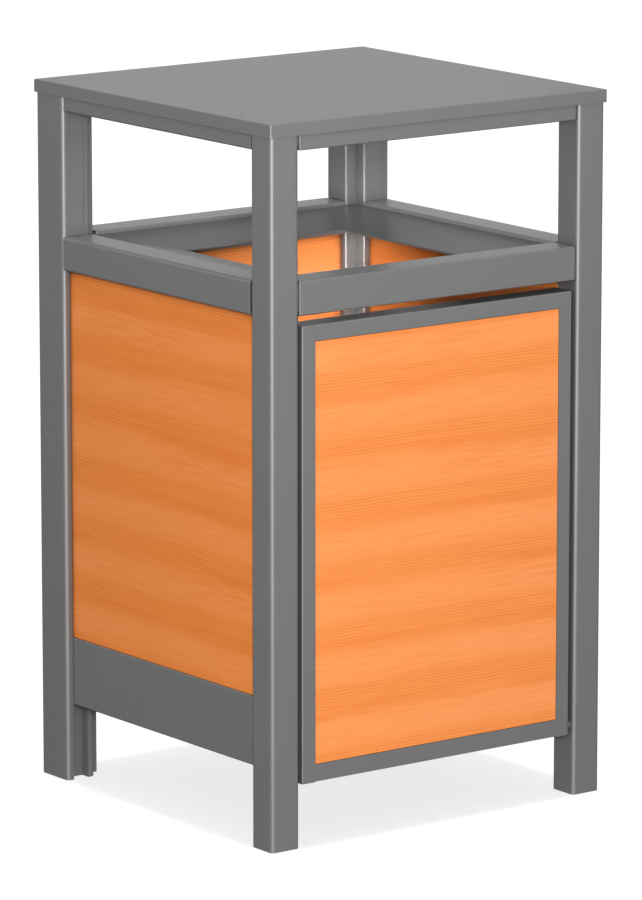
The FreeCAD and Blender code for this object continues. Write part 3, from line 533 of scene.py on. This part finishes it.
def sealed_board(name, turn, shades):
    """Stained softwood under a satin seal; turn is the angle that lays its grain along the board.

    The shades are those of pale wood, warm wood, fibres, stain and late-wood lines. Soft broad
    bands of pale and warm wood follow each other up the board. Part of each carries fine late-wood
    lines with a smudge of deeper stain beside them, and short fibres break up all."""
    board, shader, place = new_material(name)
    pale_shade, warm_shade, fibre_shade, stain_shade, line_shade = shades

    def wave(level, height, shift, low, high):
        """A smooth mask that comes back at each height up the board."""
        turns = add_node(board, "ShaderNodeMath",
                         {"operation": "MULTIPLY_ADD", 1: 2 * math.pi / height, 2: shift}, {0: level})
        swing = add_node(board, "ShaderNodeMath", {"operation": "SINE"}, {0: turns.outputs["Value"]})
        return add_node(board, "ShaderNodeMapRange",
                        {"interpolation_type": "SMOOTHSTEP", "From Min": low, "From Max": high},
                        {"Value": swing.outputs["Value"]}).outputs["Result"]

    def cloud(stretch, low, high, to_low, to_high):
        """Noise stretched along the grain, in repeats per metre, spread over a range of values."""
        laid_out = add_node(board, "ShaderNodeMapping", {"Scale": stretch}, {"Vector": laid})
        noise = add_node(board, "ShaderNodeTexNoise", {"Scale": 1.0, "Detail": 3.0, "Roughness": 0.55},
                         {"Vector": laid_out.outputs["Vector"]})
        return add_node(board, "ShaderNodeMapRange",
                        {"From Min": low, "From Max": high, "To Min": to_low, "To Max": to_high},
                        {"Value": noise.outputs["Fac"]}).outputs["Result"]

    def combine(operation, first, second):
        """One sum or product of two values."""
        return add_node(board, "ShaderNodeMath", {"operation": operation},
                        {0: first, 1: second}).outputs["Value"]

    def tint(under, colour, share):
        """The colour so far, with a share of another colour over it."""
        return add_node(board, "ShaderNodeMix", {"data_type": "RGBA", 7: linear(colour)},
                        {0: share, 6: under}).outputs[2]

    laid = add_node(board, "ShaderNodeMapping", {"Rotation": (0, 0, turn)},
                    {"Vector": place}).outputs["Vector"]
    height = add_node(board, "ShaderNodeSeparateXYZ", {}, {"Vector": laid}).outputs["Z"]
    drifted = combine("ADD", height, cloud((1.6, 1.6, 4.5), 0.2, 0.8, -0.005, 0.005))
    level = combine("ADD", drifted, cloud((7.0, 7.0, 40.0), 0.2, 0.8, -0.0006, 0.0006))
    fibre = cloud((13.0, 13.0, 420.0), 0.38, 0.64, 0.0, 1.0)
    banded = wave(level, band_height, 0.0, -0.9, 0.9)
    lined = combine("MULTIPLY", wave(level, band_height, -0.2, 0.1, 0.8),
                    wave(level, line_height, 0.0, 0.45, 1.0))
    broken = combine("MULTIPLY", lined, cloud((5.0, 5.0, 150.0), 0.36, 0.56, 0.2, 0.7))
    smudged = combine("MULTIPLY", wave(level, band_height, 1.2, 0.55, 1.0),
                      cloud((4.0, 4.0, 30.0), 0.38, 0.66, 0.0, 0.55))
    pale = add_node(board, "ShaderNodeMix",
                    {"data_type": "RGBA", 6: linear(pale_shade), 7: linear(warm_shade)},
                    {0: banded}).outputs[2]
    furred = combine("MULTIPLY", fibre, cloud((3.0, 3.0, 9.0), 0.3, 0.7, 0.25, 0.8))
    soft = tint(pale, fibre_shade, furred)
    stained = tint(soft, stain_shade, smudged)
    lines = tint(stained, line_shade, broken)
    corner = add_node(board, "ShaderNodeAmbientOcclusion", {"samples": 12, "Distance": corner_shade_reach}, {})
    painted_corner_shade = add_node(board, "ShaderNodeMapRange",
                     {"From Min": 0.42, "From Max": 0.86, "To Min": 1.0, "To Max": 0.0},
                     {"Value": corner.outputs["AO"]})
    # Painted shade: the board is darkened to a deep brown in its corners, where shade falls.
    finished = tint(lines, "#4E230B", painted_corner_shade.outputs["Result"])
    gloss = add_node(board, "ShaderNodeMapRange", {"To Min": 0.46, "To Max": 0.60}, {"Value": fibre})
    bump = add_node(board, "ShaderNodeBump", {"Strength": 0.08, "Distance": 0.0003}, {"Height": fibre})
    board.node_tree.links.new(finished, shader.inputs["Base Color"])
    board.node_tree.links.new(gloss.outputs["Result"], shader.inputs["Roughness"])
    board.node_tree.links.new(bump.outputs["Normal"], shader.inputs["Normal"])
    shader.inputs["IOR"].default_value = 1.48
    shader.inputs["Specular IOR Level"].default_value = 0.2
    return board


front_board = sealed_board("stained_softwood_across", 0.0,
                           ("#E48E53", "#E08646", "#D87D3F", "#D27331", "#C66C2D"))
# The side boards take darker shades than the boards across: painted shade for the side walls, which face
# away from the light.
side_board_shaded = sealed_board("stained_softwood_lengthwise_shaded", math.pi / 2,
                          ("#DA8346", "#D67D3A", "#CF7534", "#C96A28", "#BD6324"))


def board_piece(name, low, high, axis, ease):
    """A planed board with its long arrises taken off."""
    piece = start_box(name, low, high)
    pick(piece, "EDGE", lambda e, m: runs_along(e, axis))
    bpy.ops.mesh.bevel(offset=ease, segments=arris_steps, affect="EDGES")
    return piece


panel_high = 0.7833
board_ease = 0.0015
right_board = board_piece("right_panel_board", (half_width - panel_in, side_front, bottom_high),
                          (half_width - panel_out, side_rear, panel_high), 1, board_ease)
left_board = mirrored_copy(right_board, "left_panel_board")
finish_piece(right_board, side_board_shaded, "frame", ["right_panel"])
finish_piece(left_board, side_board_shaded, "frame", ["left_panel"])
rear_board = board_piece("rear_panel_board", (-back_reach, half_depth - panel_in, bottom_high),
                         (back_reach, half_depth - panel_out, panel_high), 0, board_ease)
finish_piece(rear_board, front_board, "frame", ["rear_panel"])


# Floor: a folded steel pan on two angle bearers that are screwed to the bottom
# rails. It carries the liner and catches drips.

for floor_part in ("floor_pan", "left_floor_bearer", "right_floor_bearer"):
    coat_node(floor_part, powder_coat)


# Mid rails: round-edged aluminium tubes between the posts, just clear of them,
# each held by an aluminium spigot in both ends.

# Radii of the upper edges, the lower edges and the rims, for the rails across and along the sides.
cross_radii = (0.002, 0.0018, 0.0016)
side_radii = (0.0045, 0.003, 0.0004)
rail_wall = 0.003
rail_open = 0.02
mid_low = 0.7843
mid_high = 0.835
rail_out_x = 0.3025
rail_out_y = 0.294
front_rail_reach = 0.2525
rear_rail_reach = 0.2335
side_rail_front = -0.244
side_rail_rear = 0.2265


def rail_ring(level, width, side_out, low, high):
    """The four rails of one level, standing for the CAD rails of the same name."""
    inner_x = rail_out_x - width
    spots = {
        "front": ((-front_rail_reach, -rail_out_y, low), (front_rail_reach, width - rail_out_y, high), 0),
        "rear": ((-rear_rail_reach, rail_out_y - width, low), (rear_rail_reach, rail_out_y, high), 0),
        "right": ((inner_x, side_rail_front, low), (side_out, side_rail_rear, high), 1),
        "left": ((-side_out, side_rail_front, low), (-inner_x, side_rail_rear, high), 1),
    }
    for side, (corner_low, corner_high, axis) in spots.items():
        node = side + "_" + level + "_rail"
        radii = side_radii if axis else cross_radii
        piece = tube_piece(node + "_extrusion", corner_low, corner_high, axis, radii, rail_wall,
                           rail_open)
        finish_piece(piece, powder_coat, "frame", [node], 0)
        lit_rails.objects.link(piece)


mid_width = 0.050
rail_ring("mid", mid_width, half_width, mid_low, mid_high)


# Hopper: a folded and welded sheet that hangs inside the mid rails and falls
# gently to a square hole with a turned-down lip over the liner.

hopper_x = 0.2525
hopper_y = 0.244
hopper_edge = 0.829
hopper_low = 0.8127
hole_half = 0.151
hole_middle = -0.011
hopper_flange = 0.034
hopper_lip = 0.003
hopper_sheet = 0.002
fold_radius = 0.0012
inset_width = 0.05
hopper = start_plate("hopper_sheet", -hopper_x, hopper_x, -hopper_y, hopper_y, hopper_edge)
pick(hopper, "FACE", lambda f, m: True)
bpy.ops.mesh.inset(thickness=inset_width)
hole_share = (hole_half / (hopper_x - inset_width), hole_half / (hopper_y - inset_width), 1)
bpy.ops.transform.resize(value=hole_share, center_override=(0, 0, hopper_edge))
bpy.ops.transform.translate(value=(0, hole_middle, hopper_low - hopper_edge))
bpy.ops.mesh.delete(type="FACE")
pick(hopper, "EDGE", lambda e, m: near(m.z, hopper_edge))
bpy.ops.mesh.extrude_edges_move(TRANSFORM_OT_translate={"value": (0, 0, -hopper_flange)})
pick(hopper, "EDGE", lambda e, m: near(m.z, hopper_low))
bpy.ops.mesh.extrude_edges_move(TRANSFORM_OT_translate={"value": (0, 0, -hopper_lip)})
bpy.ops.mesh.select_all(action="SELECT")
bpy.ops.mesh.normals_make_consistent(inside=False)
bpy.ops.object.mode_set(mode="OBJECT")
if hopper.data.polygons[0].normal.z < 0:
    hopper.data.flip_normals()
hopper_thick = hopper.modifiers.new("sheet_thickness", "SOLIDIFY")
hopper_thick.thickness = hopper_sheet
hopper_thick.offset = -1.0
hopper_thick.use_even_offset = True
bpy.ops.object.modifier_apply(modifier=hopper_thick.name)
finish_piece(hopper, powder_coat, "frame", ["hopper_plate"], fold_radius)
hopper_flag.objects.link(hopper)
hopper_flag.collection_objects[1].light_linking.link_state = "EXCLUDE"


# Top rails under the roof, and the strips that close the post channels beside
# the open windows. Both are aluminium extrusions in the same powder coat.

top_width = 0.030
top_low = 1.0228
rail_ring("top", top_width, rail_out_x, top_low, post_top)
for filler in ("front_channel_fillers", "rear_channel_fillers"):
    coat_node(filler, powder_coat)
lit_post.objects.link(cad_nodes["rear_channel_fillers"])


# Roof: one sheet folded down on all four sides and welded at the corners. It sits
# over the posts and is held by eight welded studs, with nuts, on four cleats.

roof_x = 0.3073
roof_y = 0.2988
roof_top = 1.0645
roof_lip = 1.0455
roof_sheet = 0.002
roof_corner = 0.002
roof_fold = 0.0012
roof = start_box("roof_pan_sheet", (-roof_x, -roof_y, roof_lip), (roof_x, roof_y, roof_top))
pick(roof, "EDGE", lambda e, m: runs_along(e, 2))
bpy.ops.mesh.bevel(offset=roof_corner, segments=fold_steps, affect="EDGES")
pick(roof, "FACE", lambda f, m: near(m.z, roof_lip))
bpy.ops.mesh.inset(thickness=roof_sheet)
roof_hollow = roof_top - roof_sheet - roof_lip
bpy.ops.mesh.extrude_region_move(TRANSFORM_OT_translate={"value": (0, 0, roof_hollow)})
pick(roof, "EDGE", lambda e, m: near(m.z, roof_top))
bpy.ops.mesh.bevel(offset=roof_fold, segments=fold_steps, affect="EDGES")
stud_sides = 24
stud_radius = 0.003
stud_tip = 0.0006
stud_drop = 0.012
stud_spread = 0.020
stud_out_x = 0.2585
stud_out_y = 0.250
stud_low = roof_top - roof_sheet - stud_drop
stud_high = roof_top - roof_sheet / 2
stud_places = [(x, y) for x in (-stud_spread, stud_spread) for y in (-stud_out_y, stud_out_y)]
stud_places += [(x, y) for x in (-stud_out_x, stud_out_x) for y in (-stud_spread, stud_spread)]
for stud_x, stud_y in stud_places:
    bpy.ops.mesh.primitive_cylinder_add(vertices=stud_sides, radius=stud_radius,
                                        depth=stud_high - stud_low,
                                        location=(stud_x, stud_y, (stud_low + stud_high) / 2))
pick(roof, "EDGE", lambda e, m: near(m.z, stud_low))
bpy.ops.mesh.bevel(offset=stud_tip, segments=ease_steps, affect="EDGES")
bpy.ops.mesh.select_all(action="SELECT")
bpy.ops.mesh.normals_make_consistent(inside=False)
finish_piece(roof, powder_coat, "frame", ["roof_pan"], fine_ease)
coat_node("roof_cleats", powder_coat)


# Liner: a tapered bucket in dark polyethylene with a turned-out rim and a shallow
# stiffening panel in each wall, moulded in one. It stands loose in the floor pan
# and lifts out when the door is down.

# Moulded polyethylene: dark grey, soft waxy sheen, faint cloudiness and mould texture.
poly_cloud = 0.03
polyethylene = grained_material("dark_grey_polyethylene", poly_cloud, 5.0, ("#2B2C2D", "#343536"),
                                (0.45, 0.62), bump=(0.1, 0.0005))

liner_foot = 0.152
liner_top = 0.637
liner_x = 0.215
liner_y = 0.205
liner_middle = -0.005
liner_taper = 0.015
liner_corner = 0.030
liner_foot_radius = 0.010
liner_wall = 0.003
liner_rim = 0.008
liner_rim_height = 0.012
liner_ease = 0.001
stiffener_border = 0.045
stiffener_depth = 0.003
upright = 0.1
foot_x = liner_x - liner_taper
foot_y = liner_y - liner_taper
# The wall thickens inwards from its outer face, and the rim upwards and outwards from its
# under face.
shell_top = liner_top - liner_wall
rim_x = liner_x + liner_rim - liner_wall
rim_y = liner_y + liner_rim - liner_wall
foot_front = liner_middle - foot_y
foot_rear = liner_middle + foot_y
liner = start_plate("liner_moulding", -foot_x, foot_x, foot_front, foot_rear, liner_foot)
foot_corners = [(x, y) for x in (-foot_x, foot_x) for y in (foot_front, foot_rear)]
round_corners(liner, foot_corners, liner_corner)
bpy.ops.mesh.select_mode(type="FACE")
bpy.ops.mesh.select_all(action="SELECT")
bpy.ops.mesh.extrude_region_move(TRANSFORM_OT_translate={"value": (0, 0, shell_top - liner_foot)})
shell_centre = (0, liner_middle, shell_top)
bpy.ops.transform.resize(value=(liner_x / foot_x, liner_y / foot_y, 1), center_override=shell_centre)
bpy.ops.mesh.delete(type="FACE")
pick(liner, "EDGE", lambda e, m: near(m.z, shell_top))
bpy.ops.mesh.extrude_edges_move(TRANSFORM_OT_translate={"value": (0, 0, 0)})
bpy.ops.transform.resize(value=(rim_x / liner_x, rim_y / liner_y, 1), center_override=shell_centre)
bpy.ops.mesh.extrude_edges_move(TRANSFORM_OT_translate={"value": (0, 0, liner_wall - liner_rim_height)})
bpy.ops.mesh.select_all(action="SELECT")
bpy.ops.mesh.normals_make_consistent(inside=False)
if pick(liner, "FACE", lambda f, m: near(m.z, liner_foot) and f.normal.z > 0):
    bpy.ops.mesh.select_all(action="SELECT")
    bpy.ops.mesh.flip_normals()
pick(liner, "EDGE", lambda e, m: near(m.z, liner_foot))
bpy.ops.mesh.bevel(offset=liner_foot_radius, segments=fold_steps, affect="EDGES")
# The four walls are the upright faces with the most area.
wall_area = ((liner_top - liner_foot) / 2) ** 2
pick(liner, "FACE", lambda f, m: abs(f.normal.z) < upright and f.calc_area() > wall_area)
bpy.ops.mesh.inset(thickness=stiffener_border, use_individual=True)
bpy.ops.transform.shrink_fatten(value=-stiffener_depth)
bpy.ops.object.mode_set(mode="OBJECT")
liner_thick = liner.modifiers.new("moulded_wall", "SOLIDIFY")
liner_thick.thickness = liner_wall
liner_thick.offset = -1.0
liner_thick.use_even_offset = True
bpy.ops.object.modifier_apply(modifier=liner_thick.name)
finish_piece(liner, polyethylene, "frame", ["liner"], liner_ease)


# Door frame: two full-height stiles with two rails screwed between them, all of
# grooved aluminium extrusion. The stiles' lower ends have thin grey caps.

door_front = -0.2932
door_back = -0.2552
door_half = 0.2478
stile_inner = 0.2242
stile_low = 0.0954
door_top = 0.769
door_base = 0.0946
panel_low = 0.1204
panel_top = 0.745
door_radius = 0.002
door_lower_radius = 0.0008
groove_front = -0.2847
groove_back = -0.2761
groove_depth = 0.0076
stile = start_plate("door_right_stile_extrusion", stile_inner, door_half, door_front, door_back,
                    stile_low)
round_corners(stile, [(door_half, door_front), (door_half, door_back)], door_radius)
raise_plate(door_top - stile_low)
pick(stile, "EDGE", lambda e, m: near(m.z, door_top) and len(e.link_faces) == 2
     and any(f.normal.z < facing for f in e.link_faces)
     and (near(m.y, door_front) or near(m.y, door_back) or m.x > door_half - door_radius - same_place))
bpy.ops.mesh.bevel(offset=door_radius, segments=fold_steps, affect="EDGES")
groove_top = panel_top + groove_depth
groove_cuts = {(0, groove_front, 0): (0, 1, 0), (0, groove_back, 0): (0, 1, 0),
               (0, 0, groove_top): (0, 0, 1)}
for groove_place, groove_way in groove_cuts.items():
    pick(stile, "FACE", lambda f, m: near(m.x, stile_inner))
    bpy.ops.mesh.bisect(plane_co=groove_place, plane_no=groove_way, threshold=weld_reach)
pick(stile, "FACE", lambda f, m: near(m.x, stile_inner)
     and groove_front < m.y < groove_back and m.z < groove_top)
bpy.ops.mesh.extrude_region_move(TRANSFORM_OT_translate={"value": (groove_depth, 0, 0)})
bpy.ops.mesh.select_all(action="SELECT")
bpy.ops.mesh.normals_make_consistent(inside=False)
left_stile = mirrored_copy(stile, "door_left_stile_extrusion")
finish_piece(stile, powder_coat, "door", ["door_right_stile"], fine_ease)
finish_piece(left_stile, powder_coat, "door", ["door_left_stile"], fine_ease)


def door_rail_piece(name, low, high, edge_height, radius, groove_height, node):
    """A door rail with two rounded long edges and a groove for the panel's tongue."""
    piece = start_box(name, (-stile_inner, door_front, low), (stile_inner, door_back, high))
    pick(piece, "EDGE", lambda e, m: runs_along(e, 0) and near(m.z, edge_height))
    bpy.ops.mesh.bevel(offset=radius, segments=fold_steps, affect="EDGES")
    for groove_side in (groove_front, groove_back):
        pick(piece, "FACE", lambda f, m: near(m.z, groove_height))
        bpy.ops.mesh.bisect(plane_co=(0, groove_side, 0), plane_no=(0, 1, 0), threshold=weld_reach)
    pick(piece, "FACE", lambda f, m: near(m.z, groove_height) and groove_front < m.y < groove_back)
    inward = groove_depth if groove_height == low else -groove_depth
    bpy.ops.mesh.extrude_region_move(TRANSFORM_OT_translate={"value": (0, 0, inward)})
    bpy.ops.mesh.select_all(action="SELECT")
    bpy.ops.mesh.normals_make_consistent(inside=False)
    finish_piece(piece, powder_coat, "door", [node], fine_ease)


door_rail_piece("door_top_rail_extrusion", panel_top, door_top, door_top, door_radius, panel_top,
                "door_top_rail")
door_rail_piece("door_bottom_rail_extrusion", door_base, panel_low, door_base, door_lower_radius,
                panel_low, "door_bottom_rail")
coat_node("door_end_caps", powder_coat)


# Door panel: the same inch board, rebated on all four edges to a tongue that
# sits in the grooves of the door frame, its face just behind the frame's face.

panel_face = -0.2929
panel_back = -0.2679
board_gap = 0.0003
board_arris = 0.0008
tongue_reach = 0.007
tongue_front = -0.2844
tongue_back = -0.2764
door_board = start_box("door_panel_board", (-stile_inner + board_gap, panel_face, panel_low + board_gap),
                       (stile_inner - board_gap, panel_back, panel_top - board_gap))
pick(door_board, "EDGE", lambda e, m: near(m.y, panel_face) or near(m.y, panel_back))
bpy.ops.mesh.bevel(offset=board_arris, segments=arris_steps, affect="EDGES")
for tongue_side in (tongue_front, tongue_back):
    bpy.ops.mesh.select_all(action="SELECT")
    bpy.ops.mesh.bisect(plane_co=(0, tongue_side, 0), plane_no=(0, 1, 0), threshold=weld_reach)
panel_middle = (panel_low + panel_top) / 2
for way in (Vector((1, 0, 0)), Vector((-1, 0, 0)), Vector((0, 0, 1)), Vector((0, 0, -1))):
    pick(door_board, "FACE", lambda f, m: tongue_front < m.y < tongue_back
         and f.normal.dot(way) > facing
         and f.normal.dot(m - Vector((0, m.y, panel_middle))) > 0)
    reach = way * (tongue_reach + board_gap)
    bpy.ops.mesh.extrude_region_move(TRANSFORM_OT_translate={"value": reach})
bpy.ops.mesh.select_all(action="SELECT")
bpy.ops.mesh.normals_make_consistent(inside=False)
finish_piece(door_board, front_board, "door", ["door_panel"])


# Small metal: screws, nuts, pins and the strike plate in stainless steel, spigots
# in plain aluminium, brackets in coated steel, nylon bearings and the magnet's block.

# Stainless steel: pale grey, finely mottled by the tumbling of the parts.
steel_mottle = 0.0015
stainless = grained_material("tumbled_stainless_steel", steel_mottle, 3.0, ("#B4B4B2", "#C6C6C4"),
                             (0.26, 0.42), metal=1.0)

# Mill aluminium: as it leaves the press, duller than the steel and softly mottled.
mill_mottle = 0.004
mill_aluminium = grained_material("mill_finish_aluminium", mill_mottle, 4.0, ("#8C8D8F", "#9C9D9F"),
                                  (0.42, 0.58), metal=1.0)

# Ferrite: pressed and fired powder, ground flat, dark grey and grainy.
ferrite_grain = 0.0015
ferrite = grained_material("ground_ferrite", ferrite_grain, 5.0, ("#2C2C2F", "#3B3B3E"), (0.48, 0.66))

for steel_name in ("roof_nuts", "cleat_screws", "hopper_screws", "bottom_rail_screws", "bearer_screws",
                   "pivot_bracket_screws", "catch_screws", "door_frame_screws", "strike_screws",
                   "strike_plate", "door_stop_pins"):
    coat_node(steel_name, stainless)
for spigot_name in ("mid_rail_spigots", "top_rail_spigots", "door_rail_spigots"):
    coat_node(spigot_name, mill_aluminium)
for coated_name in ("catch_bracket", "pivot_brackets"):
    coat_node(coated_name, powder_coat)
for nylon_name in ("pivot_bushes", "pivot_washers"):
    coat_node(nylon_name, black_nylon)
coat_node("catch_magnet", ferrite)
